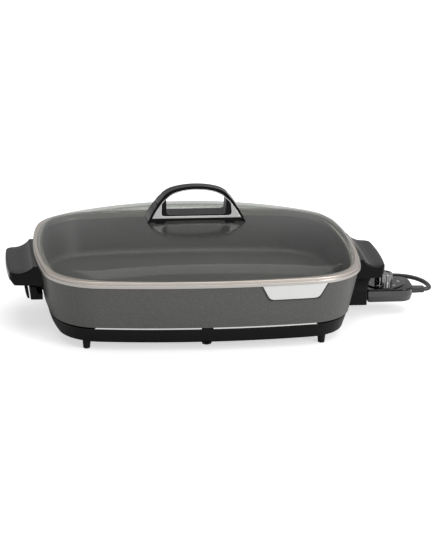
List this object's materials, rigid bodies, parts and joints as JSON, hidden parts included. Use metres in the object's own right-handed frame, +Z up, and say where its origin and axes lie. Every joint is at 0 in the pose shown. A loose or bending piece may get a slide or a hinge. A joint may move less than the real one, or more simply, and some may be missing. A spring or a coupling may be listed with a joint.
{
  "type": "electric skillet",
  "caption": "Rectangular electric skillet with a domed glass lift-off cover, two side handles and a pull-out heat control with dial and cord.",
  "frame": {"origin": "under the middle of the pan, on the surface that the feet stand on", "axes": "+X along the pan towards the heat control, +Y to the back, away from the badge, +Z up"},
  "size_m": [0.5651, 0.389, 0.176],
  "materials": {
    "pan_coating": "cast aluminium under a grey speckled non-stick coat, satin",
    "black_plastic": "moulded phenolic, satin",
    "grip_plastic": "moulded phenolic, semi-gloss",
    "clear_glass": "tempered, clear",
    "rim_steel": "polished steel rim",
    "bright_trim": "bright plated",
    "badge_steel": "satin plate, blank",
    "screw_steel": "zinc plated",
    "sheath_steel": "dull heater sheath",
    "contact_metal": "plated contact",
    "insulator": "glazed bush",
    "foot_rubber": "matte",
    "washer_rubber": "silicone washer",
    "cord_rubber": "satin cord jacket",
    "dial_plastic": "gloss",
    "lens_red": "clear red lens",
    "lamp_glass": "neon lamp"
  },
  "bodies": {
    "skillet": {"pan": "pan_coating", "heating_element": "sheath_steel", "terminal_pins": "contact_metal", "terminal_bushes": "insulator", "base_frame": "black_plastic", "strip_front": "bright_trim", "strip_back": "bright_trim", "base_clips": "black_plastic", "feet": "foot_rubber", "base_screws": "screw_steel", "badge_plate": "badge_steel", "handle_right": "grip_plastic", "handle_left": "grip_plastic", "handle_screws_right": "screw_steel", "handle_screws_left": "screw_steel", "probe_guard": "black_plastic", "bracket_left": "black_plastic"},
    "cover": {"cover_rim": "rim_steel", "cover_glass": "clear_glass", "handle_arch": "grip_plastic", "handle_core": "black_plastic", "handle_trim_front": "bright_trim", "handle_trim_back": "bright_trim", "cover_washers": "washer_rubber", "cover_screws": "screw_steel"},
    "control": {"control_bottom": "black_plastic", "control_top": "black_plastic", "control_deck": "dial_plastic", "control_screws": "screw_steel", "contact_block": "insulator", "contact_sleeves": "contact_metal", "sensor_probe": "sheath_steel", "thermostat_frame": "screw_steel", "contact_blades": "contact_metal", "bimetal_blade": "contact_metal", "indicator_lens": "lens_red", "neon_lamp": "lamp_glass", "strain_relief": "cord_rubber", "power_cord": "cord_rubber", "cord_tail": "cord_rubber", "cord_coil": "cord_rubber", "cord_tie": "washer_rubber", "plug_body": "cord_rubber", "plug_blades": "contact_metal"},
    "dial": {"dial_skirt": "dial_plastic", "dial_knob": "dial_plastic", "dial_shaft": "screw_steel"}
  },
  "joints": [
    {"name": "cover_lift", "type": "slide", "parent": "skillet", "child": "cover", "axis": [0, 0, 1], "range_m": [0, 0.15]},
    {"name": "control_pull", "type": "slide", "parent": "skillet", "child": "control", "axis": [1, 0, 0], "range_m": [0, 0.09]},
    {"name": "dial_turn", "type": "hinge", "parent": "control", "child": "dial", "pos_m": [0.253, 0, 0.04], "axis": [0, 0, 1], "range_deg": [0, 270]}
  ]
}
